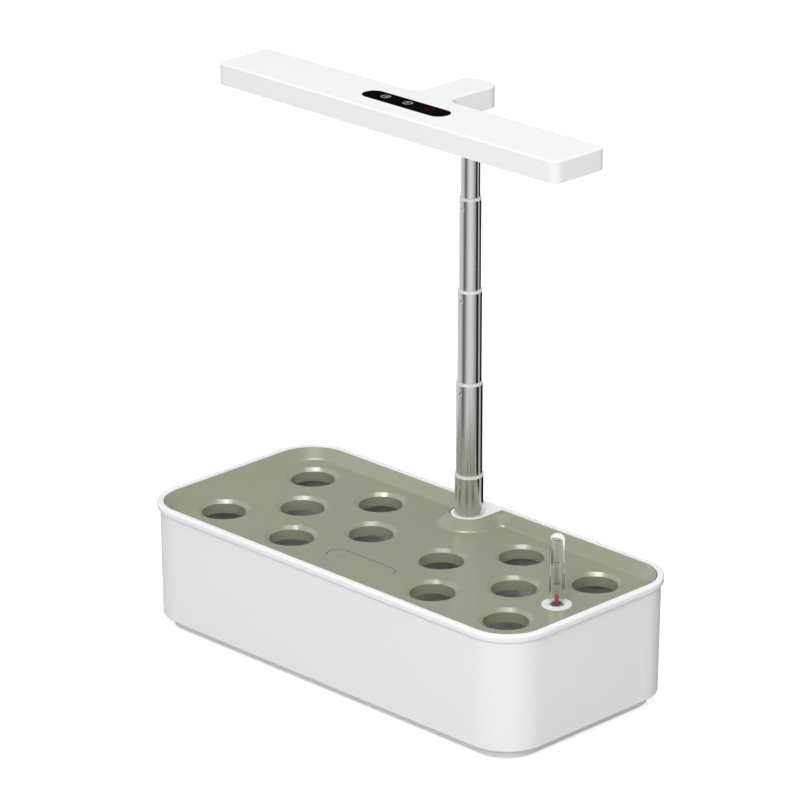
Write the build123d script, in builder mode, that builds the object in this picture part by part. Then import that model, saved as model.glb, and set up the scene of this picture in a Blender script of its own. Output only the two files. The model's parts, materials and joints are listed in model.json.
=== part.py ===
"""Countertop hydroponic garden: a water tank with a lift-out planting deck, a water
gauge, a circulation pump and a lamp on a four-stage telescopic pole.

Millimetres. +Z is up, +X runs along the tank, +Y points to the back where the pole
stands. The origin is the middle of the footprint, on the table.
"""
from build123d import *
from math import atan, cos, degrees, hypot, radians, sin
import os

# ---------------------------------------------------------------- driving sizes
# tank
tank_length = 350.0
tank_width = 167.0
tank_corner = 33.0
rim_top = 90.1
rim_height = 5.0
rim_top_round = 1.9
rim_under_round = 1.1
rim_inner_round = 0.7
lip_overhang = 2.0
wall_draft = 1.0
tank_wall = 2.6
tank_floor = 2.4
foot_step_top = 8.4
foot_step_inset = 10.0
feet_height = 0.8
feet_recess = 1.0
feet_radius = 8.0
feet_from_end = 42.0
feet_from_side = 32.0
rib_width = 2.2
rib_reach = 5.0
rib_from_side = 50.1

# dry column and tongue round the pole
pole_from_back = 23.3
column_radius = 12.5
column_wall = 2.4
tongue_drop = 0.5
tongue_round = 0.8
chamber_top = 26.0
column_shelf = 2.4
cable_hole_radius = 3.0
collar_wall = 1.2
collar_height = 6.0
collar_drop = 0.35

# planting deck
deck_below_rim = 7.2
deck_plate = 2.2
deck_gap = 0.5
notch_gap = 0.6
deck_edge_drop = 0.7
slope_width = 8.4
slope_land = 0.6
slope_wall = 2.2
slope_foot_round = 5.0
slope_corner_round = 5.0
skirt_wall = 2.4
pod_from_end = 42.1
pod_from_side = 41.36
pod_radius = 15.1
pod_sink_radius = 18.4
pod_sink_depth = 1.9
pod_sleeve_wall = 1.6
pod_sleeve_depth = 8.9

# fill opening and its lid, in line with the front row of pods
cap_length = 57.9
cap_width = 15.1
cap_thickness = 1.6
cap_gap = 0.45
cap_edge = 0.5
cap_ledge = 2.4
cap_ledge_plate = 1.6
cap_ledge_rim = 1.6
cap_skirt_depth = 6.0
cap_skirt_wall = 1.4
cap_dish_depth = 0.5
cap_dish_ball = 22.0
cap_dish_from_end = 8.0

# water gauge
gauge_from_end = 34.4
gauge_y = -2.65
gauge_turn = 45.0
disc_radius = 10.0
disc_height = 1.0
disc_edge = 0.4
stem_radius = 7.4
stem_depth = 7.0
stem_floor = 1.6
gauge_tube_radius = 5.07
gauge_tube_wall = 0.9
gauge_tube_dome = 4.4
gauge_tube_height = 49.0
gauge_tube_seat = 3.0
scale_width = 5.0
scale_thickness = 0.5
scale_from_axis = 2.5
scale_above_disc = 45.5
mark_thickness = 0.1
mark_height = 0.55
mark_width = 4.0
mark_count = 3
mark_pitch = 15.05
mark_first = 12.9
tick_height = 0.25
tick_width = 3.0
ticks_between_marks = 14
key_slot_width = 0.7
key_slot_length = 2.2
key_slot_depth = 0.5
key_slot_gap = 0.5
cage_radius = 12.0
cage_wall = 1.6
cage_above_floor = 3.2
cage_flange_radius = 14.0
cage_flange = 1.6
cage_slot_width = 5.0
cage_slot_margin = 7.0
cage_drain_radius = 5.0
float_radius = 8.8
float_height = 16.0
float_above_cage = 2.4
float_edge = 2.0
rod_radius = 1.25
rod_show = 6.5
rod_gap = 0.3
fixed_gap = 0.05

# telescopic pole: outside diameter of the lowest tube, the step from each tube to the
# next and how far the tops of the four rings stand above the tongue
tube_diameter = 19.5
tube_step = 1.7
tube_wall = 0.5
ring_top_heights = [28.8, 94.8, 160.1, 224.45]
ring_height = 1.8
bush_height = 3.0
running_gap = 0.05
dimple_below_ring = 7.6
dimple_radius = 1.4
dimple_sink = 0.3
dimple_reach = 0.25
dimple_direction = 270.0
stop_gap = 0.5

# lamp: its top stands lamp_top_height above the tongue
lamp_length = 308.5
lamp_width = 46.6
lamp_corner = 6.0
lamp_top_height = 301.3
lamp_height = 14.5
lamp_edge_round = 1.0
arm_width = 28.5
arm_behind_pole = 13.3
arm_corner = 10.0
arm_fillet = 9.0
housing_wall = 1.6
housing_roof = 1.8
bezel_thickness = 1.6
bezel_seam = 0.2
bezel_side_margin = 5.0
bezel_end_margin = 15.0
bezel_corner = 4.0
pole_hole_gap = 0.5
diffuser_thickness = 1.5
diffuser_overlap = 2.0
led_board_above_bezel = 5.6
led_board_thickness = 1.4
led_board_overlap = 2.0
spreader_thickness = 1.0
chip_length = 3.5
chip_width = 2.8
chip_height = 0.8
chip_columns = 16
chip_rows = 3
chip_pitch_x = 16.0
chip_pitch_y = 9.0
panel_length = 74.6
panel_width = 16.1
panel_thickness = 1.0
panel_gap = 0.12
control_length = 80.0
control_width = 24.0
control_thickness = 1.2
clamp_width = 22.0
clamp_corner = 5.0
clamp_behind_pole = 9.5
clamp_from_bar = 14.4
clamp_height = 8.0
clamp_screw_spread = 14.0
clamp_screw_from_front = 5.0
board_screw_columns = [-6, -2, 2, 6]
bezel_screw_from_end = 7.2
bezel_screw_arm_spread = 18.0
bezel_screw_up_arm = 5.7

# screws and their bosses
screw_radius = 1.25
screw_head_radius = 2.3
screw_head_height = 1.2
cover_screw_head = 0.6
screw_bite = 2.6
screw_clearance = 0.15
boss_radius = 2.9

# power inlet and board in the dry column
jack_height = 17.0
jack_flange_radius = 5.4
jack_flange = 1.0
jack_radius = 4.2
jack_depth = 8.5
jack_bore = 2.75
jack_bore_depth = 8.0
jack_pin = 1.0
power_board_width = 14.0
power_board_length = 8.0
power_board_thickness = 1.4
cover_thickness = 1.4
cover_gap = 0.2

# circulation pump
pump_from_end = 75.3
pump_from_back = 53.5
pump_length = 46.0
pump_width = 34.0
pump_height = 26.0
pump_corner = 4.0
pump_wall = 2.0
cup_height = 5.0
cup_radius = 6.5
cup_top_radius = 3.0
cup_hollow = 2.0
cup_lip = 0.8
cup_neck_radius = 2.2
cup_neck = 1.4
cup_from_corner = 8.0
grille_thickness = 2.0
grille_slot = 1.8
grille_slot_count = 6
grille_slot_pitch = 4.0
grille_slot_height = 15.0
sponge_thickness = 6.0
rotor_radius = 5.0
rotor_length = 14.0
rotor_gap = 0.5
shaft_radius = 1.0
shaft_hold = 3.0
vane_radius = 8.5
vane_length = 6.0
vane_thickness = 1.2
vane_count = 6
vane_hub_radius = 3.0
vane_gap = 0.8
nozzle_radius = 4.5
nozzle_bore = 3.0
nozzle_height = 13.0
nozzle_collar_radius = 6.5
nozzle_collar = 2.0
gland_radius = 4.0
gland_length = 7.0
gland_bore = 2.0

# ---------------------------------------------------------------- worked-out places
pole_y = tank_width / 2 - pole_from_back
floor_top = feet_height + tank_floor
lip_bottom = rim_top - rim_height
wall_height = lip_bottom - foot_step_top
wall_taper = degrees(atan(wall_draft / wall_height))
wall_inset_bottom = lip_overhang + wall_draft
step_floor = foot_step_top + tank_floor
cavity_inset_top = lip_overhang + tank_wall
cavity_inset_bottom = wall_inset_bottom + tank_wall - wall_draft * tank_floor / wall_height
back_outside = tank_width / 2 - wall_inset_bottom
back_inside = tank_width / 2 - cavity_inset_bottom - wall_draft * tank_floor / wall_height
back_foot = tank_width / 2 - foot_step_inset
tongue_top = rim_top - tongue_drop
column_inside = column_radius - column_wall
shelf_top = chamber_top + column_shelf

deck_top = rim_top - deck_below_rim
deck_inset = cavity_inset_top + deck_gap
deck_edge_top = rim_top - deck_edge_drop
deck_bottom = deck_top - deck_plate
notch_radius = column_radius + notch_gap
slope_rise = deck_edge_top - deck_top
slope_angle = degrees(atan(slope_width / slope_rise))
slope_foot_inset = slope_width + slope_land
slope_drop = slope_wall * hypot(slope_width, slope_rise) / slope_width
slope_rate = slope_rise / slope_width
void_foot_inset = slope_land + (deck_edge_top - slope_drop - deck_bottom) / slope_rate
void_land = 0.25
void_height = (void_foot_inset - skirt_wall - void_land) * slope_rate

pod_pitch = (tank_length / 2 - pod_from_end) / 2
pod_row_spacing = tank_width / 2 - pod_from_side
pod_sleeve_bottom = deck_top - pod_sleeve_depth

fill_y = -pod_row_spacing
cap_seat = deck_top - cap_thickness
ledge_bottom = cap_seat - cap_ledge_plate
mouth_length = cap_length - 2 * cap_ledge
mouth_width = cap_width - 2 * cap_ledge

gauge_x = tank_length / 2 - gauge_from_end
disc_top = deck_top + disc_height
stem_bottom = deck_top - stem_depth
gauge_tube_bottom = disc_top - gauge_tube_seat
gauge_inside = gauge_tube_radius - gauge_tube_wall
scale_bottom = stem_bottom + stem_floor
scale_top = disc_top + scale_above_disc
gauge_plane = Plane.XY.offset(0).move(Location((gauge_x, gauge_y, 0), (0, 0, gauge_turn)))
cage_bottom = step_floor + cage_above_floor
float_bottom = cage_bottom + cage_wall + float_above_cage
float_top = float_bottom + float_height
rod_top = disc_top + rod_show

ring_tops = [tongue_top + height for height in ring_top_heights]
tube_radii = [(tube_diameter - tube_step * k) / 2 for k in range(len(ring_tops) + 1)]
stop_below_ring = dimple_below_ring + dimple_radius + stop_gap
dimple_facing = (cos(radians(dimple_direction)), sin(radians(dimple_direction)), 0)
pole_tops = [top - ring_height for top in ring_tops]
pole_bottoms = [shelf_top] + [top - stop_below_ring for top in ring_tops]
collar_radius = tube_radii[0] + fixed_gap + collar_wall

lamp_top = tongue_top + lamp_top_height
lamp_bottom = lamp_top - lamp_height
arm_back = pole_y + arm_behind_pole
roof_under = lamp_top - housing_roof
bezel_bottom = lamp_bottom + bezel_seam
bezel_top = bezel_bottom + bezel_thickness
bezel_inset = housing_wall + bezel_seam
window_length = lamp_length - 2 * bezel_end_margin
window_width = lamp_width - 2 * (housing_wall + bezel_side_margin)
led_board_bottom = bezel_top + led_board_above_bezel
spreader_bottom = led_board_bottom + led_board_thickness
spreader_top = spreader_bottom + spreader_thickness
led_board_length = window_length + 2 * led_board_overlap
led_board_width = window_width + 2 * led_board_overlap
clamp_top = bezel_top + clamp_height
clamp_front = lamp_width / 2 + clamp_from_bar
clamp_length = pole_y + clamp_behind_pole - clamp_front
clamp_y = clamp_front + clamp_length / 2
clamp_screws_at = [(s * clamp_screw_spread / 2, clamp_front + clamp_screw_from_front) for s in (-1, 1)]
board_screws_at = [(column * chip_pitch_x, 0) for column in board_screw_columns]
bezel_screws_at = [(s * (lamp_length / 2 - housing_wall - bezel_screw_from_end), 0) for s in (-1, 1)]
bezel_screws_at += [(s * bezel_screw_arm_spread / 2, lamp_width / 2 + bezel_screw_up_arm) for s in (-1, 1)]

cover_top = feet_height + cover_thickness
cover_back = back_foot - tank_wall
cover_screws_at = [(0, pole_y - column_inside + boss_radius), (0, cover_back - boss_radius)]
jack_face = back_outside + wall_draft * (jack_height + jack_flange_radius - foot_step_top) / wall_height

pump_x = pump_from_end - tank_length / 2
pump_y = tank_width / 2 - pump_from_back
pump_bottom = floor_top + cup_height
pump_top = pump_bottom + pump_height
pump_axis_z = pump_bottom + pump_height / 2
pump_left = pump_x - pump_length / 2
pump_right = pump_x + pump_length / 2
housing_left = pump_left + grille_thickness
vanes_left = housing_left + sponge_thickness + vane_gap
vanes_right = vanes_left + vane_length
vane_chamber_right = vanes_right + vane_gap
rotor_right = vanes_right + rotor_length
rotor_well_right = rotor_right + 2 * rotor_gap
nozzle_x = (vanes_left + vanes_right) / 2
shaft_left = vanes_left - vane_gap / 2
cups_at = [
    (pump_x + sx * (pump_length / 2 - cup_from_corner), pump_y + sy * (pump_width / 2 - cup_from_corner))
    for sx in (-1, 1)
    for sy in (-1, 1)
]


def finish(piece, name):
    """Name a finished piece and write it."""
    piece.part.label = name
    export_step(piece.part, f"parts/{name}.step")


def tank_outline(inset):
    """The rounded outline of the tank, moved inwards by an even inset."""
    RectangleRounded(tank_length - 2 * inset, tank_width - 2 * inset, tank_corner - inset)


def deck_outline(inset):
    """The deck's outline with its U-shaped notch for the column, moved inwards."""
    edge = deck_inset + inset
    notch = notch_radius + inset
    back = tank_width / 2 - edge
    RectangleRounded(tank_length - 2 * edge, tank_width - 2 * edge, tank_corner - edge)
    with Locations((0, pole_y)):
        Circle(notch, mode=Mode.SUBTRACT)
    with Locations((0, (pole_y + back) / 2)):
        Rectangle(2 * notch, back - pole_y, mode=Mode.SUBTRACT)


def round_notch_corners(inset, radius):
    """Round the two corners where the notch meets the deck's back edge."""
    back = tank_width / 2 - deck_inset - inset
    corners = [v for v in vertices() if abs(v.Y - back) < 0.01 and abs(v.X) < 2 * (notch_radius + inset)]
    fillet(corners, radius=radius)


def column_outline(inset, back):
    """The U shape of the dry column: round at the front, straight to the back wall."""
    with Locations((0, pole_y)):
        Circle(column_radius - inset)
    with Locations((0, (pole_y + back) / 2)):
        Rectangle(2 * (column_radius - inset), back - pole_y)


def lamp_outline(inset):
    """The T shape of the lamp: a long bar, and a short arm that reaches back to the pole."""
    bar_back = lamp_width / 2 - inset
    arm_end = arm_back - inset
    arm_half = arm_width / 2 - inset
    RectangleRounded(lamp_length - 2 * inset, lamp_width - 2 * inset, lamp_corner - inset)
    with Locations((0, (bar_back + arm_end) / 2 - arm_corner)):
        RectangleRounded(2 * arm_half, arm_end - bar_back + 2 * arm_corner, arm_corner - inset)
    inner = [v for v in vertices() if abs(v.Y - bar_back) < 0.01 and abs(abs(v.X) - arm_half) < 0.01]
    fillet(inner, radius=arm_fillet + inset)


def ring(outer, inner):
    """A plain ring in the sketch being drawn."""
    Circle(outer)
    Circle(inner, mode=Mode.SUBTRACT)


def screws(places, head_top, head_height, shank):
    """Screws that point up: a round head and a shank that starts at the head's top."""
    with BuildPart() as group:
        with BuildSketch(Plane.XY.offset(head_top - head_height)):
            with Locations(places):
                Circle(screw_head_radius)
        extrude(amount=head_height)
        with BuildSketch(Plane.XY.offset(head_top)):
            with Locations(places):
                Circle(screw_radius)
        extrude(amount=shank)
    return group


def on_face_at(height):
    """Picks flat faces that look up or down at a height."""
    return lambda face: abs(face.center().Z - height) < 0.01 and abs(face.normal_at().Z) > 0.99


os.makedirs("parts", exist_ok=True)

# ---------------------------------------------------------------- tank
rib_x_places = [place * pod_pitch for place in (-1.5, -0.5, 0.5, 1.5)]
rib_y_places = [side * (tank_width / 2 - rib_from_side) for side in (-1, 1)]
rib_root = cavity_inset_bottom - tank_wall / 2
rib_y = tank_width / 2 - rib_root - rib_reach / 2
rib_x = tank_length / 2 - rib_root - rib_reach / 2
feet_x = tank_length / 2 - feet_from_end
feet_y = tank_width / 2 - feet_from_side
feet_at = [(sx * feet_x, sy * feet_y) for sx in (-1, 1) for sy in (-1, 1)]

with BuildPart() as tank_shell:
    with BuildSketch(Plane.XY.offset(foot_step_top)):
        tank_outline(wall_inset_bottom)
    extrude(amount=wall_height, taper=-wall_taper)
    with BuildSketch(Plane.XY.offset(lip_bottom)):
        tank_outline(0)
    extrude(amount=rim_height)
    fillet(faces().filter_by(on_face_at(rim_top))[0].outer_wire().edges(), radius=rim_top_round)
    fillet(faces().filter_by(on_face_at(lip_bottom))[0].outer_wire().edges(), radius=rim_under_round)
    with BuildSketch(Plane.XY.offset(feet_height)):
        tank_outline(foot_step_inset)
    extrude(amount=foot_step_top - feet_height)
    with BuildSketch(Plane.XY.offset(floor_top)):
        tank_outline(foot_step_inset + tank_wall)
    extrude(amount=step_floor - floor_top, mode=Mode.SUBTRACT)
    with BuildSketch(Plane.XY.offset(step_floor)):
        tank_outline(cavity_inset_bottom)
    extrude(amount=rim_top - step_floor + 1, taper=-wall_taper, mode=Mode.SUBTRACT)
    fillet(faces().filter_by(on_face_at(rim_top))[0].inner_wires()[0].edges(), radius=rim_inner_round)
    # ribs that carry the deck
    with BuildSketch(Plane.XY.offset(step_floor - tank_floor / 2)):
        with Locations([(x, side * rib_y) for x in rib_x_places for side in (-1, 1)]):
            Rectangle(rib_width, rib_reach)
        with Locations([(side * rib_x, y) for y in rib_y_places for side in (-1, 1)]):
            Rectangle(rib_reach, rib_width)
    extrude(amount=deck_bottom - step_floor + tank_floor / 2)
    # dry column, joined to the back wall, and the tongue on top of it
    with BuildSketch(Plane.XY.offset(feet_height)):
        column_outline(0, back_foot)
    extrude(amount=step_floor - feet_height)
    with BuildSketch(Plane.XY.offset(foot_step_top)):
        column_outline(0, back_inside + tank_wall / 2)
    extrude(amount=tongue_top - foot_step_top)
    tongue = faces().filter_by(on_face_at(tongue_top)).sort_by(SortBy.AREA)[-1]
    tongue_edges = [e for e in tongue.outer_wire().edges() if e.center().Y < back_inside - tank_wall]
    fillet(tongue_edges, radius=tongue_round)
    # dry chamber, open at the bottom, with the bosses of its cover
    with BuildSketch(Plane.XY.offset(feet_height)):
        column_outline(column_wall, back_foot - tank_wall)
    extrude(amount=step_floor - feet_height, mode=Mode.SUBTRACT)
    with BuildSketch(Plane.XY.offset(step_floor)):
        column_outline(column_wall, back_inside)
    extrude(amount=chamber_top - step_floor, mode=Mode.SUBTRACT)
    with BuildSketch(Plane.XY.offset(cover_top)):
        with Locations(cover_screws_at):
            Circle(boss_radius)
    extrude(amount=chamber_top - cover_top)
    with Locations([(x, y, cover_top) for x, y in cover_screws_at]):
        Hole(screw_radius, depth=screw_bite)
    # bore of the pole, its collar seat, the cable way and the core behind the bore
    with BuildSketch(Plane.XY.offset(shelf_top)):
        with Locations((0, pole_y)):
            Circle(tube_radii[0] + fixed_gap)
    extrude(amount=tongue_top - shelf_top, mode=Mode.SUBTRACT)
    with BuildSketch(Plane.XY.offset(tongue_top - collar_height)):
        with Locations((0, pole_y)):
            Circle(collar_radius + fixed_gap)
    extrude(amount=collar_height, mode=Mode.SUBTRACT)
    with BuildSketch(Plane.XY.offset(chamber_top)):
        with Locations((0, pole_y)):
            Circle(cable_hole_radius)
    extrude(amount=column_shelf, mode=Mode.SUBTRACT)
    core_front = pole_y + tube_radii[0] + column_wall
    with BuildSketch(Plane.XY.offset(chamber_top)):
        with Locations((0, (core_front + back_inside) / 2)):
            Rectangle(2 * column_inside, back_inside - core_front)
    extrude(amount=tongue_top - column_wall - chamber_top, mode=Mode.SUBTRACT)
    # seats of the power inlet and the feet
    with BuildSketch(Plane.XZ.offset(-back_inside + column_wall)):
        with Locations((0, jack_height)):
            Circle(jack_radius + fixed_gap)
    extrude(amount=-tank_wall - 2 * column_wall, mode=Mode.SUBTRACT)
    with BuildSketch(Plane.XY.offset(feet_height)):
        with Locations(feet_at):
            Circle(feet_radius)
    extrude(amount=feet_recess, mode=Mode.SUBTRACT)
finish(tank_shell, "tank_shell")

with BuildPart() as tank_feet:
    with BuildSketch():
        with Locations(feet_at):
            Circle(feet_radius)
    extrude(amount=feet_height + feet_recess)
finish(tank_feet, "tank_feet")

with BuildPart() as pole_collar:
    with BuildSketch(Plane.XY.offset(tongue_top - collar_height)):
        with Locations((0, pole_y)):
            ring(collar_radius, tube_radii[0] + fixed_gap)
    extrude(amount=collar_height - collar_drop)
finish(pole_collar, "pole_collar")

# ---------------------------------------------------------------- power inlet
with BuildPart() as dc_jack:
    with BuildSketch(Plane.XZ.offset(-jack_face - jack_flange)):
        with Locations((0, jack_height)):
            Circle(jack_flange_radius)
    extrude(amount=jack_flange)
    with BuildSketch(Plane.XZ.offset(-jack_face)):
        with Locations((0, jack_height)):
            Circle(jack_radius)
    extrude(amount=jack_depth)
    with BuildSketch(Plane.XZ.offset(-jack_face - jack_flange)):
        with Locations((0, jack_height)):
            ring(jack_bore, jack_pin)
    extrude(amount=jack_bore_depth, mode=Mode.SUBTRACT)
finish(dc_jack, "dc_jack")

with BuildPart() as power_board:
    with BuildSketch(Plane.XY.offset(chamber_top - power_board_thickness)):
        with Locations((0, pole_y)):
            Rectangle(power_board_width, power_board_length)
            Circle(cable_hole_radius, mode=Mode.SUBTRACT)
    extrude(amount=power_board_thickness)
finish(power_board, "power_board")

with BuildPart() as chamber_cover:
    with BuildSketch(Plane.XY.offset(feet_height)):
        column_outline(column_wall + cover_gap, cover_back - cover_gap)
    extrude(amount=cover_thickness)
    with BuildSketch(Plane.XY.offset(feet_height)):
        with Locations(cover_screws_at):
            Circle(screw_radius + screw_clearance)
    extrude(amount=cover_thickness, mode=Mode.SUBTRACT)
finish(chamber_cover, "chamber_cover")

cover_screws = screws(cover_screws_at, feet_height, cover_screw_head, cover_thickness + screw_bite)
finish(cover_screws, "cover_screws")

# ---------------------------------------------------------------- circulation pump
pump_end = Plane(origin=(housing_left, pump_y, pump_axis_z), x_dir=(0, 1, 0), z_dir=(1, 0, 0))

with BuildPart() as pump_housing:
    with BuildSketch(pump_end):
        Rectangle(pump_width, pump_height)
    extrude(amount=pump_right - housing_left)
    fillet(edges().filter_by(Axis.X), radius=pump_corner)
    with BuildSketch(pump_end):
        RectangleRounded(pump_width - 2 * pump_wall, pump_height - 2 * pump_wall, pump_corner - pump_wall)
    extrude(amount=sponge_thickness, mode=Mode.SUBTRACT)
    with BuildSketch(pump_end.offset(sponge_thickness)):
        Circle(vane_radius + vane_gap)
    extrude(amount=vane_chamber_right - housing_left - sponge_thickness, mode=Mode.SUBTRACT)
    with BuildSketch(pump_end.offset(vane_chamber_right - housing_left)):
        Circle(rotor_radius + rotor_gap)
    extrude(amount=rotor_well_right - vane_chamber_right, mode=Mode.SUBTRACT)
    with BuildSketch(pump_end.offset(rotor_well_right - housing_left)):
        Circle(shaft_radius)
    extrude(amount=shaft_hold, mode=Mode.SUBTRACT)
    with BuildSketch(Plane.XY.offset(pump_axis_z)):
        with Locations((nozzle_x, pump_y)):
            Circle(nozzle_bore)
    extrude(amount=pump_height, mode=Mode.SUBTRACT)
    with BuildSketch(Plane.XY.offset(pump_bottom)):
        with Locations(cups_at):
            Circle(cup_neck_radius)
    extrude(amount=cup_neck, mode=Mode.SUBTRACT)
finish(pump_housing, "pump_housing")

grille_offsets = [(k - (grille_slot_count - 1) / 2) * grille_slot_pitch for k in range(grille_slot_count)]
with BuildPart() as pump_cover:
    with BuildSketch(pump_end.offset(-grille_thickness)):
        RectangleRounded(pump_width, pump_height, pump_corner)
        with Locations([(y, 0) for y in grille_offsets]):
            Rectangle(grille_slot, grille_slot_height, mode=Mode.SUBTRACT)
    extrude(amount=grille_thickness)
finish(pump_cover, "pump_cover")

with BuildPart() as filter_sponge:
    with BuildSketch(pump_end):
        RectangleRounded(pump_width - 2 * pump_wall, pump_height - 2 * pump_wall, pump_corner - pump_wall)
    extrude(amount=sponge_thickness)
finish(filter_sponge, "filter_sponge")

with BuildPart() as impeller_shaft:
    with BuildSketch(pump_end.offset(shaft_left - housing_left)):
        Circle(shaft_radius)
    extrude(amount=rotor_well_right + shaft_hold - shaft_left)
finish(impeller_shaft, "impeller_shaft")

with BuildPart() as impeller:
    with BuildSketch(pump_end.offset(vanes_left - housing_left)):
        Circle(vane_hub_radius)
        with PolarLocations(vane_radius / 2, vane_count):
            Rectangle(vane_radius, vane_thickness)
        Circle(shaft_radius + running_gap, mode=Mode.SUBTRACT)
    extrude(amount=vane_length)
finish(impeller, "impeller")

with BuildPart() as magnet_rotor:
    with BuildSketch(pump_end.offset(vanes_right - housing_left)):
        ring(rotor_radius, shaft_radius + running_gap)
    extrude(amount=rotor_length)
finish(magnet_rotor, "magnet_rotor")

with BuildPart() as pump_outlet:
    with BuildSketch(Plane.XY.offset(pump_top)):
        with Locations((nozzle_x, pump_y)):
            Circle(nozzle_collar_radius)
    extrude(amount=nozzle_collar)
    with BuildSketch(Plane.XY.offset(pump_top)):
        with Locations((nozzle_x, pump_y)):
            Circle(nozzle_radius)
    extrude(amount=nozzle_height)
    with BuildSketch(Plane.XY.offset(pump_top)):
        with Locations((nozzle_x, pump_y)):
            Circle(nozzle_bore)
    extrude(amount=nozzle_height, mode=Mode.SUBTRACT)
finish(pump_outlet, "pump_outlet")

with BuildPart() as pump_gland:
    with BuildSketch(pump_end.offset(pump_right - housing_left)):
        ring(gland_radius, gland_bore)
    extrude(amount=gland_length)
finish(pump_gland, "pump_gland")

with BuildPart() as suction_cups:
    with Locations([(x, y, floor_top) for x, y in cups_at]):
        Cone(cup_radius, cup_top_radius, cup_height, align=(Align.CENTER, Align.CENTER, Align.MIN))
        Cone(cup_radius - cup_lip, cup_lip, cup_hollow, align=(Align.CENTER, Align.CENTER, Align.MIN),
             mode=Mode.SUBTRACT)
    with BuildSketch(Plane.XY.offset(pump_bottom)):
        with Locations(cups_at):
            Circle(cup_neck_radius)
    extrude(amount=cup_neck)
finish(suction_cups, "suction_cups")

# ---------------------------------------------------------------- planting deck
row_shift = [-1.5 * pod_pitch, -0.5 * pod_pitch, 0.5 * pod_pitch, 1.5 * pod_pitch]
outer_shift = [place * pod_pitch for place in (-2, -1, 1, 2)]
pods_at = [(x, 0) for x in row_shift]
pods_at += [(x, side * pod_row_spacing) for x in outer_shift for side in (-1, 1)]
sink_angle = 2 * degrees(atan((pod_sink_radius - pod_radius) / pod_sink_depth))

# the hollow under the slope, which leaves the slope as an even wall with a skirt
with BuildPart() as slope_hollow:
    with BuildSketch(Plane.XY.offset(deck_bottom)):
        deck_outline(skirt_wall)
    extrude(amount=void_height)
    with BuildSketch(Plane.XY.offset(deck_bottom)):
        deck_outline(void_foot_inset)
    extrude(amount=void_height, taper=-slope_angle, mode=Mode.SUBTRACT)

with BuildPart() as grow_deck:
    with BuildSketch(Plane.XY.offset(deck_bottom)):
        deck_outline(0)
    extrude(amount=deck_edge_top - deck_bottom)
    with BuildSketch(Plane.XY.offset(deck_top)):
        deck_outline(slope_foot_inset)
        round_notch_corners(slope_foot_inset, slope_corner_round)
    extrude(amount=slope_rise, taper=-slope_angle, mode=Mode.SUBTRACT)
    slope_foot = faces().filter_by(on_face_at(deck_top))[0].outer_wire().edges()
    fillet(slope_foot, radius=slope_foot_round)
    add(slope_hollow.part, mode=Mode.SUBTRACT)
    with BuildSketch(Plane.XY.offset(pod_sleeve_bottom)):
        with Locations(pods_at):
            Circle(pod_radius + pod_sleeve_wall)
    extrude(amount=deck_bottom - pod_sleeve_bottom)
    with BuildSketch(Plane.XY.offset(ledge_bottom)):
        with Locations((0, fill_y)):
            SlotOverall(cap_length + 2 * cap_ledge_rim, cap_width + 2 * cap_ledge_rim)
    extrude(amount=deck_bottom - ledge_bottom)
    with Locations([(x, y, deck_top) for x, y in pods_at]):
        CounterSinkHole(pod_radius, pod_sink_radius, counter_sink_angle=sink_angle)
    with BuildSketch(Plane.XY.offset(cap_seat)):
        with Locations((0, fill_y)):
            SlotOverall(cap_length + 2 * cap_gap, cap_width + 2 * cap_gap)
    extrude(amount=cap_thickness, mode=Mode.SUBTRACT)
    with BuildSketch(Plane.XY.offset(ledge_bottom)):
        with Locations((0, fill_y)):
            SlotOverall(mouth_length, mouth_width)
    extrude(amount=cap_ledge_plate, mode=Mode.SUBTRACT)
    with Locations((gauge_x, gauge_y, deck_top)):
        Hole(stem_radius + fixed_gap)
finish(grow_deck, "grow_deck")

skirt_length = mouth_length - 2 * cap_gap
skirt_width = mouth_width - 2 * cap_gap
dish_x = -cap_length / 2 + cap_dish_from_end
with BuildPart() as fill_cap:
    with BuildSketch(Plane.XY.offset(cap_seat)):
        with Locations((0, fill_y)):
            SlotOverall(cap_length, cap_width)
    extrude(amount=cap_thickness)
    fillet(faces().filter_by(on_face_at(deck_top))[0].outer_wire().edges(), radius=cap_edge)
    with BuildSketch(Plane.XY.offset(cap_seat - cap_skirt_depth)):
        with Locations((0, fill_y)):
            SlotOverall(skirt_length, skirt_width)
            SlotOverall(skirt_length - 2 * cap_skirt_wall, skirt_width - 2 * cap_skirt_wall, mode=Mode.SUBTRACT)
    extrude(amount=cap_skirt_depth)
    with Locations((dish_x, fill_y, deck_top + cap_dish_ball - cap_dish_depth)):
        Sphere(cap_dish_ball, mode=Mode.SUBTRACT)
finish(fill_cap, "fill_cap")

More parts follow.
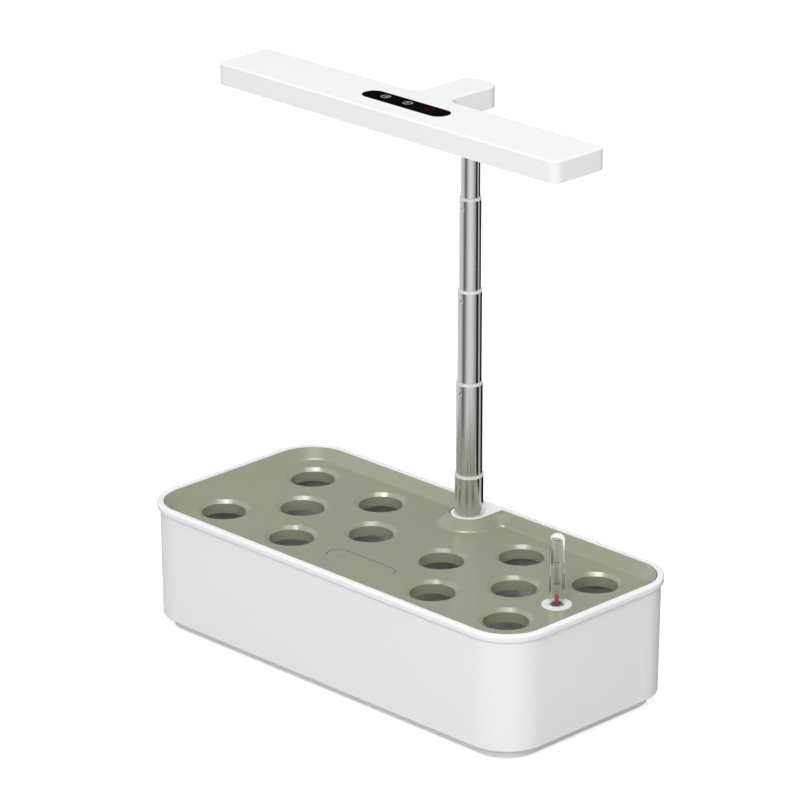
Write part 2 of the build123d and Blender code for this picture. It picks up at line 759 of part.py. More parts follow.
# ---------------------------------------------------------------- water gauge and float
with BuildPart() as gauge_base:
    with BuildSketch(Plane.XY.offset(deck_top)):
        with Locations((gauge_x, gauge_y)):
            Circle(disc_radius)
    extrude(amount=disc_height)
    fillet(faces().filter_by(on_face_at(disc_top))[0].outer_wire().edges(), radius=disc_edge)
    with BuildSketch(Plane.XY.offset(stem_bottom)):
        with Locations((gauge_x, gauge_y)):
            Circle(stem_radius)
    extrude(amount=stem_depth)
    with BuildSketch(Plane.XY.offset(gauge_tube_bottom)):
        with Locations((gauge_x, gauge_y)):
            Circle(gauge_tube_radius + fixed_gap)
    extrude(amount=gauge_tube_seat, mode=Mode.SUBTRACT)
    with BuildSketch(Plane.XY.offset(scale_bottom)):
        with Locations((gauge_x, gauge_y)):
            Circle(gauge_inside)
    extrude(amount=gauge_tube_bottom - scale_bottom, mode=Mode.SUBTRACT)
    with BuildSketch(Plane.XY.offset(stem_bottom)):
        with Locations((gauge_x, gauge_y)):
            Circle(rod_radius + rod_gap)
    extrude(amount=stem_floor, mode=Mode.SUBTRACT)
    # two key slots beside the tube's foot, for turning the gauge out of the deck
    with BuildSketch(gauge_plane.offset(disc_top - key_slot_depth)):
        for side in (-1, 1):
            with Locations((side * (gauge_tube_radius + key_slot_gap + key_slot_width / 2), 0)):
                Rectangle(key_slot_width, key_slot_length)
    extrude(amount=key_slot_depth, mode=Mode.SUBTRACT)
finish(gauge_base, "gauge_base")

with BuildPart() as gauge_tube:
    with BuildSketch(Plane.XY.offset(gauge_tube_bottom)):
        with Locations((gauge_x, gauge_y)):
            Circle(gauge_tube_radius)
    extrude(amount=gauge_tube_seat + gauge_tube_height)
    fillet(faces().sort_by(Axis.Z)[-1].edges(), radius=gauge_tube_dome)
    offset(amount=-gauge_tube_wall, openings=faces().sort_by(Axis.Z)[0])
finish(gauge_tube, "gauge_tube")

with BuildPart() as gauge_scale:
    with BuildSketch(gauge_plane.offset(scale_bottom)):
        with Locations((0, scale_from_axis + scale_thickness / 2)):
            Rectangle(scale_width, scale_thickness)
    extrude(amount=scale_top - scale_bottom)
finish(gauge_scale, "gauge_scale")

tick_pitch = mark_pitch / ticks_between_marks
with BuildPart() as scale_marks:
    for tick in range((mark_count - 1) * ticks_between_marks + 1):
        is_mark = tick % ticks_between_marks == 0
        line_width = mark_width if is_mark else tick_width
        line_height = mark_height if is_mark else tick_height
        middle = disc_top + mark_first + tick * tick_pitch
        with BuildSketch(gauge_plane.offset(middle - line_height / 2)):
            with Locations((0, scale_from_axis - mark_thickness / 2)):
                Rectangle(line_width, mark_thickness)
        extrude(amount=line_height)
finish(scale_marks, "scale_marks")

cage_slot_height = deck_bottom - cage_bottom - 2 * cage_slot_margin
with BuildPart() as float_cage:
    with BuildSketch(Plane.XY.offset(cage_bottom)):
        with Locations((gauge_x, gauge_y)):
            Circle(cage_radius)
    extrude(amount=deck_bottom - cage_bottom)
    with BuildSketch(Plane.XY.offset(deck_bottom - cage_flange)):
        with Locations((gauge_x, gauge_y)):
            Circle(cage_flange_radius)
    extrude(amount=cage_flange)
    with BuildSketch(Plane.XY.offset(cage_bottom + cage_wall)):
        with Locations((gauge_x, gauge_y)):
            Circle(cage_radius - cage_wall)
    extrude(amount=deck_bottom - cage_bottom - cage_wall, mode=Mode.SUBTRACT)
    with BuildSketch(Plane.XY.offset(cage_bottom)):
        with Locations((gauge_x, gauge_y)):
            Circle(cage_drain_radius)
    extrude(amount=cage_wall, mode=Mode.SUBTRACT)
    with BuildSketch(Plane.XY.offset(cage_bottom + cage_slot_margin)):
        with Locations((gauge_x, gauge_y)):
            Rectangle(2 * cage_flange_radius, cage_slot_width)
            Rectangle(cage_slot_width, 2 * cage_flange_radius)
    extrude(amount=cage_slot_height, mode=Mode.SUBTRACT)
finish(float_cage, "float_cage")

with BuildPart() as float_body:
    with BuildSketch(Plane.XY.offset(float_bottom)):
        with Locations((gauge_x, gauge_y)):
            Circle(float_radius)
    extrude(amount=float_height)
    fillet(edges(), radius=float_edge)
finish(float_body, "float_body")

with BuildPart() as float_rod:
    with BuildSketch(Plane.XY.offset(float_top)):
        with Locations((gauge_x, gauge_y)):
            Circle(rod_radius)
    extrude(amount=rod_top - float_top)
finish(float_rod, "float_rod")

# ---------------------------------------------------------------- telescopic pole
pole_tube_tops = pole_tops + [roof_under - control_thickness]
for stage, radius in enumerate(tube_radii):
    bottom = pole_bottoms[stage]
    top = pole_tube_tops[stage]
    inside = radius - tube_wall
    with BuildPart() as pole_tube:
        with BuildSketch(Plane.XY.offset(bottom)):
            with Locations((0, pole_y)):
                ring(radius, inside)
        extrude(amount=top - bottom)
        if stage < len(ring_tops):
            # pressed dimple: a dish outside and a stop inside for the next bush
            dimple_z = ring_tops[stage] - dimple_below_ring
            dish_ball = (dimple_radius**2 + dimple_sink**2) / (2 * dimple_sink)
            dimple_plane = Plane((0, pole_y, dimple_z), x_dir=(0, 0, 1), z_dir=dimple_facing)
            with BuildSketch(dimple_plane.offset(inside - dimple_reach)):
                Circle(dimple_radius)
            extrude(amount=dimple_reach + tube_wall / 2)
            with Locations(dimple_plane.offset(radius + dish_ball - dimple_sink)):
                Sphere(dish_ball, mode=Mode.SUBTRACT)
    finish(pole_tube, f"pole_tube_{stage + 1}")
    if stage < len(ring_tops):
        with BuildPart() as pole_ring:
            with BuildSketch(Plane.XY.offset(top)):
                with Locations((0, pole_y)):
                    ring(radius, tube_radii[stage + 1] + running_gap)
            extrude(amount=ring_height)
        finish(pole_ring, f"pole_ring_{stage + 1}")
    if stage > 0:
        with BuildPart() as slider_bush:
            with BuildSketch(Plane.XY.offset(bottom - bush_height)):
                with Locations((0, pole_y)):
                    ring(tube_radii[stage - 1] - tube_wall - running_gap, inside)
            extrude(amount=bush_height)
        finish(slider_bush, f"slider_bush_{stage + 1}")

# ---------------------------------------------------------------- lamp
with BuildPart() as lamp_housing:
    with BuildSketch(Plane.XY.offset(lamp_bottom)):
        lamp_outline(0)
    extrude(amount=lamp_height)
    fillet(faces().filter_by(on_face_at(lamp_top))[0].outer_wire().edges(), radius=lamp_edge_round)
    with BuildSketch(Plane.XY.offset(lamp_bottom)):
        lamp_outline(housing_wall)
    extrude(amount=lamp_height - housing_roof, mode=Mode.SUBTRACT)
    with BuildSketch(Plane.XY.offset(lamp_top - panel_thickness)):
        SlotOverall(panel_length + 2 * panel_gap, panel_width + 2 * panel_gap)
    extrude(amount=panel_thickness, mode=Mode.SUBTRACT)
    for places, foot in (
        (clamp_screws_at, clamp_top),
        (board_screws_at, spreader_top),
        (bezel_screws_at, bezel_top),
    ):
        with BuildSketch(Plane.XY.offset(foot)):
            with Locations(places):
                ring(boss_radius, screw_radius)
        extrude(amount=roof_under - foot)
finish(lamp_housing, "lamp_housing")

with BuildPart() as lamp_bezel:
    with BuildSketch(Plane.XY.offset(bezel_bottom)):
        lamp_outline(bezel_inset)
        RectangleRounded(window_length, window_width, bezel_corner, mode=Mode.SUBTRACT)
        with Locations((0, pole_y)):
            Circle(tube_radii[-1] + pole_hole_gap, mode=Mode.SUBTRACT)
        with Locations(bezel_screws_at):
            Circle(screw_radius + screw_clearance, mode=Mode.SUBTRACT)
    extrude(amount=bezel_thickness)
    with BuildSketch(Plane.XY.offset(bezel_bottom)):
        with Locations(bezel_screws_at):
            Circle(screw_head_radius + screw_clearance)
    extrude(amount=screw_head_height, mode=Mode.SUBTRACT)
finish(lamp_bezel, "lamp_bezel")

with BuildPart() as lamp_diffuser:
    with BuildSketch(Plane.XY.offset(bezel_top)):
        RectangleRounded(window_length + 2 * diffuser_overlap, window_width + 2 * diffuser_overlap, bezel_corner)
    extrude(amount=diffuser_thickness)
finish(lamp_diffuser, "lamp_diffuser")

with BuildPart() as led_board:
    with BuildSketch(Plane.XY.offset(led_board_bottom)):
        Rectangle(led_board_length, led_board_width)
        with Locations(board_screws_at):
            Circle(screw_radius, mode=Mode.SUBTRACT)
    extrude(amount=led_board_thickness)
finish(led_board, "led_board")

with BuildPart() as heat_spreader:
    with BuildSketch(Plane.XY.offset(spreader_bottom)):
        Rectangle(led_board_length, led_board_width)
        with Locations(board_screws_at):
            Circle(screw_radius, mode=Mode.SUBTRACT)
    extrude(amount=spreader_thickness)
finish(heat_spreader, "heat_spreader")

with BuildPart() as led_chips:
    with BuildSketch(Plane.XY.offset(led_board_bottom - chip_height)):
        with GridLocations(chip_pitch_x, chip_pitch_y, chip_columns, chip_rows):
            Rectangle(chip_length, chip_width)
    extrude(amount=chip_height)
finish(led_chips, "led_chips")

with BuildPart() as control_board:
    with BuildSketch(Plane.XY.offset(roof_under - control_thickness)):
        Rectangle(control_length, control_width)
        with Locations(board_screws_at):
            Circle(boss_radius + screw_clearance, mode=Mode.SUBTRACT)
    extrude(amount=control_thickness)
finish(control_board, "control_board")

with BuildPart() as touch_panel:
    with BuildSketch(Plane.XY.offset(lamp_top - panel_thickness)):
        SlotOverall(panel_length, panel_width)
    extrude(amount=panel_thickness)
finish(touch_panel, "touch_panel")

with BuildPart() as pole_clamp:
    with BuildSketch(Plane.XY.offset(bezel_top)):
        with Locations((0, clamp_y)):
            RectangleRounded(clamp_width, clamp_length, clamp_corner)
        with Locations((0, pole_y)):
            Circle(tube_radii[-1] + fixed_gap, mode=Mode.SUBTRACT)
        with Locations(clamp_screws_at):
            Circle(screw_radius + screw_clearance, mode=Mode.SUBTRACT)
    extrude(amount=clamp_height)
    with BuildSketch(Plane.XY.offset(bezel_top)):
        with Locations(clamp_screws_at):
            Circle(screw_head_radius + screw_clearance)
    extrude(amount=screw_head_height, mode=Mode.SUBTRACT)
finish(pole_clamp, "pole_clamp")

clamp_shank = clamp_height - screw_head_height + screw_bite
clamp_screws = screws(clamp_screws_at, bezel_top + screw_head_height, screw_head_height, clamp_shank)
finish(clamp_screws, "clamp_screws")

board_shank = led_board_thickness + spreader_thickness + screw_bite
board_screws = screws(board_screws_at, led_board_bottom, screw_head_height, board_shank)
finish(board_screws, "board_screws")

bezel_shank = bezel_thickness - screw_head_height + screw_bite
bezel_screws = screws(bezel_screws_at, bezel_bottom + screw_head_height, screw_head_height, bezel_shank)
finish(bezel_screws, "bezel_screws")
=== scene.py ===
"""Looks of the countertop hydroponic garden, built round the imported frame.

Metres, in the frame of the CAD part: +Z up, +X along the tank, +Y to the back.
"""
import json
import math

import bpy
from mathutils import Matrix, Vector


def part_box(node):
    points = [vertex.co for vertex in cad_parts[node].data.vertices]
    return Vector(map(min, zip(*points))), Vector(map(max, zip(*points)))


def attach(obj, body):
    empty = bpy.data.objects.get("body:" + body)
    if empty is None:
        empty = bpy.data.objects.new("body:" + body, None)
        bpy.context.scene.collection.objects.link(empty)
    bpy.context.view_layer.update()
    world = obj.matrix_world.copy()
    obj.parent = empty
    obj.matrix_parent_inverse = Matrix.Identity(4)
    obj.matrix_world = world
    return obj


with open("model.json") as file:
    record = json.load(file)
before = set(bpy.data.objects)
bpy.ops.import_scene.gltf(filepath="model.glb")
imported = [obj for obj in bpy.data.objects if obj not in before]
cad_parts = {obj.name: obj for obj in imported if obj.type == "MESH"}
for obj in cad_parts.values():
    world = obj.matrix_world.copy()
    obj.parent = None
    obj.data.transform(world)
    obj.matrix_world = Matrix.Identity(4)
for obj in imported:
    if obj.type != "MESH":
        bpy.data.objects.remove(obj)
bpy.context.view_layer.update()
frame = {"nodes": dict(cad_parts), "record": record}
nodes = frame["nodes"]

# ---------------------------------------------------------------- camera and light values
CAMERA_AZIMUTH = math.radians(45.0)
CAMERA_ELEVATION = math.radians(20.68)
CAMERA_DISTANCE = 3.1108
CAMERA_TARGET = Vector((-0.00558, 0.0, 0.18504))
CAMERA_LENS = 211.8
SENSOR_WIDTH = 36.0

SKY = 0.62  # strength of the world's even light
STUDIO = 0.95  # strength of what glossy pieces see of the world
PAPER = 0.56  # the floor's colour
PAPER_GLOW = 0.66  # what the camera sees of the floor on top of its own light
FLOOR_HALF = 6.0
WHITE_LIGHT = (1, 1, 1, 1)

# ---------------------------------------------------------------- material helpers
NOISE_ROUGHNESS = 0.55
NOISE_MIDDLE = (0.3, 0.7)


def new_material(name):
    """A node material, with its node tree and its Principled shader."""
    material = bpy.data.materials.new(name)
    material.use_nodes = True
    tree = material.node_tree
    shader = next(n for n in tree.nodes if n.type == "BSDF_PRINCIPLED")
    return material, tree, shader


def object_noise(tree, scale, detail=4.0, stretch=(1.0, 1.0, 1.0)):
    """A noise texture in the object's own metres."""
    coords = tree.nodes.new("ShaderNodeTexCoord")
    mapping = tree.nodes.new("ShaderNodeMapping")
    mapping.inputs["Scale"].default_value = stretch
    noise = tree.nodes.new("ShaderNodeTexNoise")
    noise.inputs["Scale"].default_value = scale
    noise.inputs["Detail"].default_value = detail
    noise.inputs["Roughness"].default_value = NOISE_ROUGHNESS
    tree.links.new(coords.outputs["Object"], mapping.inputs["Vector"])
    tree.links.new(mapping.outputs["Vector"], noise.inputs["Vector"])
    return noise.outputs["Fac"]


def remapped(tree, value, low, high, to_low=0.0, to_high=1.0):
    """A value mapped from one range to another and held at its ends."""
    node = tree.nodes.new("ShaderNodeMapRange")
    node.inputs["From Min"].default_value = low
    node.inputs["From Max"].default_value = high
    node.inputs["To Min"].default_value = to_low
    node.inputs["To Max"].default_value = to_high
    tree.links.new(value, node.inputs["Value"])
    return node.outputs["Result"]


def spread(tree, value, low, high):
    """Maps the middle of a noise value's range to another range."""
    return remapped(tree, value, *NOISE_MIDDLE, low, high)


def tint(tree, value, colour_a, colour_b):
    """Mixes two close colours by a noise value."""
    node = tree.nodes.new("ShaderNodeMix")
    node.data_type = "RGBA"
    node.inputs[6].default_value = (*colour_a, 1.0)
    node.inputs[7].default_value = (*colour_b, 1.0)
    tree.links.new(value, node.inputs["Factor"])
    return node.outputs[2]


def bump(tree, shader, value, strength, distance):
    """Adds a fine bump from a height value."""
    node = tree.nodes.new("ShaderNodeBump")
    node.inputs["Strength"].default_value = strength
    node.inputs["Distance"].default_value = distance
    tree.links.new(value, node.inputs["Height"])
    tree.links.new(node.outputs["Normal"], shader.inputs["Normal"])


def moulded(name, colour, roughness, variation=0.03, grain=900.0, depth=0.00002, specular=0.5):
    """Injection-moulded plastic: slow colour drift, uneven gloss and a fine spark-eroded grain."""
    material, tree, shader = new_material(name)
    drift = object_noise(tree, 9.0)
    fine = object_noise(tree, grain, detail=2.0)
    darker = tuple(c * (1.0 - variation) for c in colour)
    tree.links.new(tint(tree, drift, colour, darker), shader.inputs["Base Color"])
    gloss = spread(tree, object_noise(tree, 60.0), roughness * 0.92, roughness * 1.1)
    tree.links.new(gloss, shader.inputs["Roughness"])
    shader.inputs["Specular IOR Level"].default_value = specular
    bump(tree, shader, fine, 0.25, depth)
    return material


def chromed(name):
    """Ground and chromed steel: polished round the tube, so its mirror blurs up and down,
    with faint grinding rings."""
    material, tree, shader = new_material(name)
    shader.inputs["Metallic"].default_value = 1.0
    shader.inputs["Anisotropic"].default_value = 0.9
    shader.inputs["Anisotropic Rotation"].default_value = 0.25
    around = tree.nodes.new("ShaderNodeTangent")
    around.direction_type = "RADIAL"
    around.axis = "Z"
    tree.links.new(around.outputs["Tangent"], shader.inputs["Tangent"])
    rings = object_noise(tree, 260.0, detail=3.0, stretch=(0.3, 0.3, 8.0))
    steel = tint(tree, rings, (0.80, 0.80, 0.80), (0.74, 0.74, 0.745))
    tree.links.new(steel, shader.inputs["Base Color"])
    tree.links.new(spread(tree, rings, 0.15, 0.19), shader.inputs["Roughness"])
    return material


def clear(name, colour, roughness, ior):
    """Clear moulded plastic with faint flow marks."""
    material, tree, shader = new_material(name)
    shader.inputs["Base Color"].default_value = (*colour, 1.0)
    shader.inputs["Transmission Weight"].default_value = 1.0
    shader.inputs["IOR"].default_value = ior
    gloss = spread(tree, object_noise(tree, 40.0), roughness, roughness * 2.5)
    tree.links.new(gloss, shader.inputs["Roughness"])
    return material


def metal(name, colour, roughness, scale):
    """Bare metal with a directional grain."""
    material, tree, shader = new_material(name)
    shader.inputs["Metallic"].default_value = 1.0
    grain = object_noise(tree, scale, detail=3.0, stretch=(0.1, 4.0, 1.0))
    darker = tuple(c * 0.88 for c in colour)
    tree.links.new(tint(tree, grain, colour, darker), shader.inputs["Base Color"])
    gloss = spread(tree, grain, roughness * 0.8, roughness * 1.2)
    tree.links.new(gloss, shader.inputs["Roughness"])
    bump(tree, shader, grain, 0.1, 0.00002)
    return material


def circuit_board(name):
    """Solder mask with copper tracks showing through as paler lines."""
    material, tree, shader = new_material(name)
    coords = tree.nodes.new("ShaderNodeTexCoord")
    tracks = tree.nodes.new("ShaderNodeTexBrick")
    tracks.inputs["Scale"].default_value = 140.0
    tracks.inputs["Mortar Size"].default_value = 0.05
    tracks.inputs["Color1"].default_value = (0.012, 0.10, 0.04, 1.0)
    tracks.inputs["Color2"].default_value = (0.014, 0.12, 0.05, 1.0)
    tracks.inputs["Mortar"].default_value = (0.05, 0.22, 0.10, 1.0)
    tree.links.new(coords.outputs["Object"], tracks.inputs["Vector"])
    tree.links.new(tracks.outputs["Color"], shader.inputs["Base Color"])
    shader.inputs["Roughness"].default_value = 0.35
    return material


def foam(name, colour, cell):
    """Open or closed foam: cells as bump and as colour."""
    material, tree, shader = new_material(name)
    coords = tree.nodes.new("ShaderNodeTexCoord")
    cells = tree.nodes.new("ShaderNodeTexVoronoi")
    cells.inputs["Scale"].default_value = cell
    tree.links.new(coords.outputs["Object"], cells.inputs["Vector"])
    darker = tuple(c * 0.6 for c in colour)
    shade = tint(tree, cells.outputs["Distance"], darker, colour)
    tree.links.new(shade, shader.inputs["Base Color"])
    shader.inputs["Roughness"].default_value = 0.85
    bump(tree, shader, cells.outputs["Distance"], 0.5, 0.0002)
    return material


WHITE = (0.848, 0.843, 0.848)
GREEN = (0.288, 0.300, 0.212)

materials = {
    "white_shell": moulded("abs_white", WHITE, 0.34, variation=0.012, specular=0.3),
    "green_deck": moulded("pp_sage", GREEN, 0.24, variation=0.03, grain=1200.0),
    "chrome_tube": chromed("chromed_steel"),
    "white_ring": moulded("nylon_white", (0.80, 0.80, 0.79), 0.30, variation=0.02),
    "bush_nylon": moulded("nylon_natural", (0.66, 0.65, 0.61), 0.45),
    "clear_tube": clear("clear_polycarbonate", (0.97, 0.985, 0.975), 0.012, 1.5),
    "clear_scale": clear("clear_film", (0.93, 0.95, 0.91), 0.06, 1.4),
    "scale_ink": moulded("scale_print", (0.02, 0.02, 0.02), 0.5, grain=3000.0),
    "float_red": moulded("pointer_red", (0.55, 0.02, 0.08), 0.35),
    "float_foam": foam("float_foam", (0.74, 0.74, 0.72), 900.0),
    "panel_glass": moulded(
        "panel_gloss", (0.004, 0.004, 0.0045), 0.12, variation=0.2, depth=0.000004, specular=0.0
    ),
    "diffuser": moulded(
        "frosted_diffuser", (0.86, 0.86, 0.85), 0.55, variation=0.01, grain=2200.0
    ),
    "circuit_board": circuit_board("solder_mask"),
    "led_white": foam("led_phosphor", (0.86, 0.74, 0.32), 2500.0),
    "spreader_metal": metal("rolled_aluminium", (0.78, 0.79, 0.80), 0.35, 300.0),
    "screw_steel": metal("zinc_plate", (0.62, 0.62, 0.63), 0.3, 900.0),
    "foot_rubber": moulded(
        "foot_rubber", (0.12, 0.12, 0.12), 0.75, grain=600.0, depth=0.00008
    ),
    "jack_black": moulded("jack_black", (0.015, 0.015, 0.016), 0.45),
    "pump_black": moulded("pump_black", (0.02, 0.02, 0.022), 0.5),
    "sponge_black": foam("sponge_black", (0.035, 0.035, 0.038), 700.0),
    "magnet_grey": moulded("ferrite", (0.06, 0.06, 0.06), 0.6),
    "ceramic": moulded("ceramic", (0.82, 0.81, 0.77), 0.12),
    "clamp_grey": moulded("filled_nylon", (0.20, 0.20, 0.20), 0.55),
}
slot_of = {row["node"]: row["material_slot"] for row in frame["record"]["subparts"]}
for node_name, node in nodes.items():
    if not node.material_slots:
        node.data.materials.append(None)
    for material_slot in node.material_slots:
        material_slot.material = materials[slot_of[node_name]]

# ---------------------------------------------------------------- touch icons
PRINT = 0.00004  # thickness of the print
RING_STEPS = 96
ICON_PITCH = 0.0201
ICON_BACK = 0.0016
ICON_RADIUS = 0.0034
ICON_LINE = 0.0006
LIGHT_TURN = math.radians(55)
LIGHT_STROKES = [  # x and y from the icon's middle, length, width
    (0.0011, 0.0006, 0.0024, 0.0008),
    (0.0013, -0.0007, 0.0024, 0.0008),
    (-0.0012, 0.0, 0.0016, 0.0004),
]
PUMP_HUB = (0.0009, 0.0002)  # outer and inner radius
PUMP_BLADE = (0.0018, 0.0006)  # length, width
PUMP_BLADE_REACH = 0.0017
PUMP_TURNS = [math.radians(degrees) for degrees in (20, 140, 260)]
POWER_TOP = math.radians(90)
POWER_GAP = math.radians(36)
POWER_INNER = ICON_RADIUS * 0.62
POWER_STROKE = ICON_RADIUS * 0.9

icon_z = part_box("touch_panel")[1].z
print_levels = (icon_z, icon_z + PRINT)


def flat_ring(centre, outer, inner, lobes=0, lobe_depth=0.0, gap=None):
    """Vertices and faces of a thin printed ring. gap is an opening as (middle angle, width)."""
    start, span = 0.0, 2 * math.pi
    closed = gap is None
    if not closed:
        start = gap[0] + gap[1] / 2
        span = 2 * math.pi - gap[1]
    count = RING_STEPS if closed else RING_STEPS + 1
    verts, faces = [], []
    for k in range(count):
        angle = start + span * k / RING_STEPS
        wave = 1.0 + lobe_depth * math.cos(lobes * angle)
        for radius in (outer * wave, inner * wave):
            x = centre.x + radius * math.cos(angle)
            y = centre.y + radius * math.sin(angle)
            verts += [(x, y, level) for level in print_levels]
    for k in range(RING_STEPS):
        a, b = 4 * k, 4 * ((k + 1) % count)
        faces += [
            (a, b, b + 1, a + 1), (a + 3, b + 3, b + 2, a + 2),
            (a + 1, b + 1, b + 3, a + 3), (a + 2, b + 2, b, a),
        ]
    if not closed:
        end = 4 * (count - 1)
        faces += [(0, 1, 3, 2), (end, end + 2, end + 3, end + 1)]
    return verts, faces


def flat_bar(centre, length, width, angle):
    """Vertices and faces of a thin printed stroke."""
    along = Vector((math.cos(angle), math.sin(angle), 0)) * length / 2
    across = Vector((-math.sin(angle), math.cos(angle), 0)) * width / 2
    corners = [
        centre - along - across, centre + along - across,
        centre + along + across, centre - along + across,
    ]
    verts = [(c.x, c.y, level) for level in print_levels for c in corners]
    faces = [(3, 2, 1, 0), (4, 5, 6, 7)]
    faces += [(k, (k + 1) % 4, 4 + (k + 1) % 4, 4 + k) for k in range(4)]
    return verts, faces


def joined(name, shapes):
    """One mesh object from several (verts, faces) pairs."""
    verts, faces = [], []
    for shape_verts, shape_faces in shapes:
        base = len(verts)
        verts += shape_verts
        faces += [tuple(base + i for i in face) for face in shape_faces]
    mesh = bpy.data.meshes.new(name)
    mesh.from_pydata(verts, [], faces)
    mesh.validate()
    obj = bpy.data.objects.new(name, mesh)
    bpy.context.scene.collection.objects.link(obj)
    return obj


icon_left, icon_middle, icon_right = (
    Vector((side * ICON_PITCH, ICON_BACK, 0.0)) for side in (-1, 0, 1)
)
light_icon = joined("icon_light", [
    flat_ring(icon_left, ICON_RADIUS, ICON_RADIUS - ICON_LINE, lobes=6, lobe_depth=0.035),
] + [
    flat_bar(icon_left + Vector((x, y, 0)), length, width, LIGHT_TURN)
    for x, y, length, width in LIGHT_STROKES
])
pump_icon = joined("icon_pump", [
    flat_ring(icon_middle, ICON_RADIUS, ICON_RADIUS - ICON_LINE, lobes=6, lobe_depth=0.03),
    flat_ring(icon_middle, *PUMP_HUB),
] + [
    flat_bar(
        icon_middle + Vector((math.cos(turn), math.sin(turn), 0)) * PUMP_BLADE_REACH,
        *PUMP_BLADE, turn,
    )
    for turn in PUMP_TURNS
])
power_icon = joined("icon_power", [
    flat_ring(icon_right, ICON_RADIUS, POWER_INNER, gap=(POWER_TOP, POWER_GAP)),
    flat_bar(icon_right + Vector((0, POWER_INNER, 0)), POWER_STROKE, ICON_LINE, POWER_TOP),
])
icon_grey = moulded("icon_print", (0.36, 0.36, 0.37), 0.5, grain=4000.0, specular=0.0)
icon_red = moulded("icon_print_red", (0.065, 0.003, 0.009), 0.5, grain=4000.0, specular=0.0)
for icon, material in ((light_icon, icon_grey), (pump_icon, icon_grey), (power_icon, icon_red)):
    icon.data.materials.append(material)
    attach(icon, "lamp")

# ---------------------------------------------------------------- floor, world, lamps and camera


def seen_straight(tree, rays):
    """1 for rays from the camera and through clear pieces, 0 for all others."""
    seen = tree.nodes.new("ShaderNodeMath")
    seen.operation = "MAXIMUM"
    tree.links.new(rays.outputs["Is Camera Ray"], seen.inputs[0])
    tree.links.new(rays.outputs["Is Transmission Ray"], seen.inputs[1])
    return seen.outputs["Value"]


def scaled(tree, value, factor):
    """A value times a constant."""
    node = tree.nodes.new("ShaderNodeMath")
    node.operation = "MULTIPLY"
    node.inputs[1].default_value = factor
    tree.links.new(value, node.inputs[0])
    return node.outputs["Value"]


def make_floor():
    """A wide paper floor: plain and matt to the light, and nearly glowing to the camera, so
    that it shows white with the object's contact shadow."""
    mesh = bpy.data.meshes.new("floor")
    corners = [
        (x * FLOOR_HALF, y * FLOOR_HALF, 0) for x, y in ((-1, -1), (1, -1), (1, 1), (-1, 1))
    ]
    mesh.from_pydata(corners, [], [(0, 1, 2, 3)])
    floor = bpy.data.objects.new("floor", mesh)
    bpy.context.scene.collection.objects.link(floor)
    material, tree, shader = new_material("floor_paper")
    output = next(n for n in tree.nodes if n.type == "OUTPUT_MATERIAL")
    shader.inputs["Base Color"].default_value = (PAPER, PAPER, PAPER, 1.0)
    shader.inputs["Roughness"].default_value = 0.9
    shader.inputs["Specular IOR Level"].default_value = 0.0
    seen = seen_straight(tree, tree.nodes.new("ShaderNodeLightPath"))
    glow = tree.nodes.new("ShaderNodeEmission")
    tree.links.new(scaled(tree, seen, PAPER_GLOW), glow.inputs["Strength"])
    both = tree.nodes.new("ShaderNodeAddShader")
    tree.links.new(shader.outputs["BSDF"], both.inputs[0])
    tree.links.new(glow.outputs["Emission"], both.inputs[1])
    tree.links.new(both.outputs["Shader"], output.inputs["Surface"])
    floor.data.materials.append(material)
    floor.visible_glossy = False


make_floor()

# Brightness of the studio round the object as its glossy pieces see it, by compass degrees from
# +X towards +Y: below the horizon, where the upright tubes look, and above it.
STUDIO_LOW = [
    (-180, 0.80), (-160, 0.71), (-145, 0.71), (-131, 0.61), (-119, 0.28), (-108, 0.12),
    (-97, 0.20), (-87, 0.40), (-77, 0.60), (-67.5, 0.74), (-58, 0.86), (-45, 0.89),
    (-30, 0.86), (-20, 0.76), (-10, 0.61), (0, 0.48), (10, 0.38), (16, 0.30), (20, 0.006),
    (42, 0.006), (47, 0.56), (65, 0.60), (71, 0.006), (148, 0.006), (160, 0.80), (180, 0.80),
]
STUDIO_HIGH = [
    (-180, 1.60), (-150, 1.20), (-92, 0.85), (0, 0.80), (50, 0.50), (72, 0.42), (148, 0.42),
    (162, 0.90), (174, 1.60), (180, 1.60),
]
HORIZON = (0.02, 0.14)  # between these heights of direction the lower half gives way to the upper
GLINT_COMPASS = math.radians(135.0)
GLINT_HEIGHT = math.radians(80.0)
GLINT_EDGE = (math.radians(13.0), math.radians(8.0))  # the small lamp starts here, and is full here
GLINT = 26.0  # times the studio's own strength


def compass_ramp(tree, turn, stops):
    """A colour ramp by compass direction. turn runs 0..1 over -180..180 degrees."""
    ramp = tree.nodes.new("ShaderNodeValToRGB")
    tree.links.new(turn, ramp.inputs["Fac"])
    elements = ramp.color_ramp.elements
    for k, (degrees_at, level) in enumerate(stops):
        place = (degrees_at + 180) / 360
        element = elements[k] if k < 2 else elements.new(place)
        element.position = place
        element.color = (level, level, level, 1.0)
    return ramp.outputs["Color"]


def background(tree, strength=1.0):
    """A white Background shader."""
    node = tree.nodes.new("ShaderNodeBackground")
    node.inputs["Color"].default_value = WHITE_LIGHT
    node.inputs["Strength"].default_value = strength
    return node


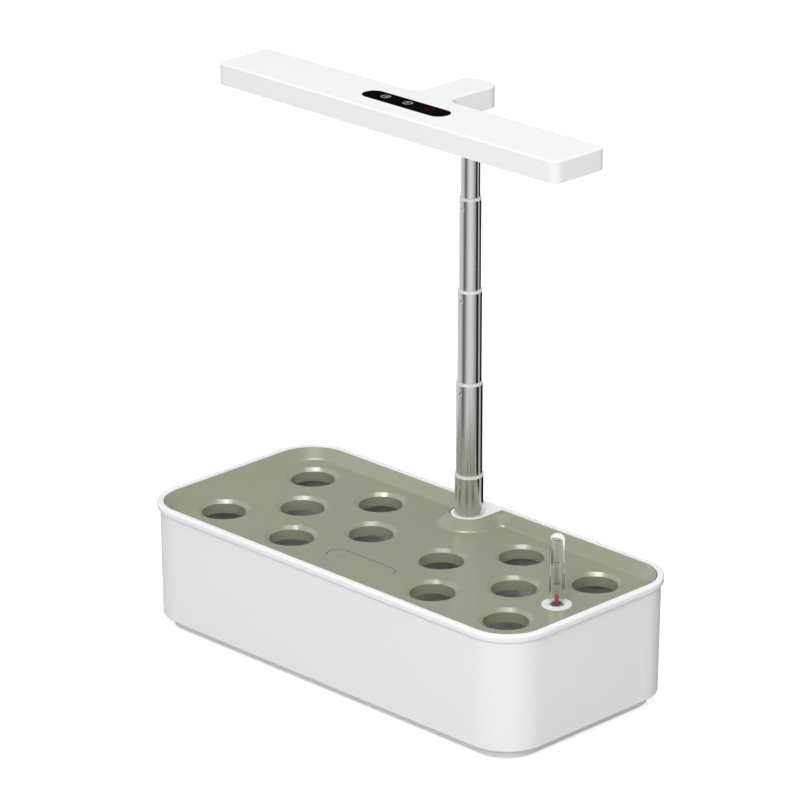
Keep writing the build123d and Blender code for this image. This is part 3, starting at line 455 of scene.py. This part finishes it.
def make_world():
    """White to the camera and through clear pieces, even soft light for diffuse, and for
    reflections a studio of white walls, black flags and a small lamp near the zenith. The
    studio was fitted to the photo's own view, so reflections look different from other sides."""
    world = bpy.data.worlds.new("studio")
    bpy.context.scene.world = world
    world.use_nodes = True
    tree = world.node_tree
    tree.nodes.clear()
    output = tree.nodes.new("ShaderNodeOutputWorld")
    coords = tree.nodes.new("ShaderNodeTexCoord")
    split = tree.nodes.new("ShaderNodeSeparateXYZ")
    tree.links.new(coords.outputs["Generated"], split.inputs["Vector"])
    compass = tree.nodes.new("ShaderNodeMath")
    compass.operation = "ARCTAN2"
    tree.links.new(split.outputs["Y"], compass.inputs[0])
    tree.links.new(split.outputs["X"], compass.inputs[1])
    turn = remapped(tree, compass.outputs["Value"], -math.pi, math.pi)
    by_height = tree.nodes.new("ShaderNodeMix")
    by_height.data_type = "RGBA"
    tree.links.new(remapped(tree, split.outputs["Z"], *HORIZON), by_height.inputs["Factor"])
    tree.links.new(compass_ramp(tree, turn, STUDIO_LOW), by_height.inputs[6])
    tree.links.new(compass_ramp(tree, turn, STUDIO_HIGH), by_height.inputs[7])
    towards = tree.nodes.new("ShaderNodeVectorMath")
    towards.operation = "DOT_PRODUCT"
    towards.inputs[1].default_value = (
        math.cos(GLINT_COMPASS) * math.cos(GLINT_HEIGHT),
        math.sin(GLINT_COMPASS) * math.cos(GLINT_HEIGHT),
        math.sin(GLINT_HEIGHT),
    )
    tree.links.new(coords.outputs["Generated"], towards.inputs[0])
    glint = remapped(tree, towards.outputs["Value"], *map(math.cos, GLINT_EDGE), 1.0, GLINT)
    plain = background(tree, SKY)
    white = background(tree)
    studio = background(tree)
    tree.links.new(by_height.outputs[2], studio.inputs["Color"])
    tree.links.new(scaled(tree, glint, STUDIO), studio.inputs["Strength"])
    rays = tree.nodes.new("ShaderNodeLightPath")
    by_gloss = tree.nodes.new("ShaderNodeMixShader")
    tree.links.new(rays.outputs["Is Glossy Ray"], by_gloss.inputs["Fac"])
    tree.links.new(plain.outputs["Background"], by_gloss.inputs[1])
    tree.links.new(studio.outputs["Background"], by_gloss.inputs[2])
    by_camera = tree.nodes.new("ShaderNodeMixShader")
    tree.links.new(seen_straight(tree, rays), by_camera.inputs["Fac"])
    tree.links.new(by_gloss.outputs["Shader"], by_camera.inputs[1])
    tree.links.new(white.outputs["Background"], by_camera.inputs[2])
    tree.links.new(by_camera.outputs["Shader"], output.inputs["Surface"])


make_world()


def area_light(name, position, target, size, power):
    """A soft lamp aimed at a point. Glossy pieces see the studio of the world instead."""
    data = bpy.data.lights.new(name, "AREA")
    data.shape = "RECTANGLE"
    data.size = data.size_y = size
    data.energy = power
    lamp = bpy.data.objects.new(name, data)
    bpy.context.scene.collection.objects.link(lamp)
    lamp.location = position
    lamp.rotation_euler = (Vector(target) - Vector(position)).to_track_quat("-Z", "Y").to_euler()
    lamp.visible_glossy = False


LAMP_AIM = (0, 0, 0.15)
LAMPS = [  # name, place, width, watts
    ("key_front", (1.22, -1.64, 1.58), 1.2, 30.8),
    ("soft_above", (0.0, 0.0, 2.35), 1.6, 14.0),
]
for lamp_name, lamp_place, lamp_width, lamp_power in LAMPS:
    area_light(lamp_name, lamp_place, LAMP_AIM, lamp_width, lamp_power)

camera_data = bpy.data.cameras.new("camera")
camera_data.lens = CAMERA_LENS
camera_data.sensor_width = SENSOR_WIDTH
camera_data.sensor_fit = "HORIZONTAL"
camera_data.clip_end = 50.0
camera = bpy.data.objects.new("camera", camera_data)
bpy.context.scene.collection.objects.link(camera)
direction = Vector((
    math.sin(CAMERA_AZIMUTH) * math.cos(CAMERA_ELEVATION),
    -math.cos(CAMERA_AZIMUTH) * math.cos(CAMERA_ELEVATION),
    math.sin(CAMERA_ELEVATION),
))
camera.location = CAMERA_TARGET + direction * CAMERA_DISTANCE
camera.rotation_euler = (-direction).to_track_quat("-Z", "Y").to_euler()
bpy.context.scene.camera = camera
bpy.context.scene.view_settings.view_transform = "Standard"
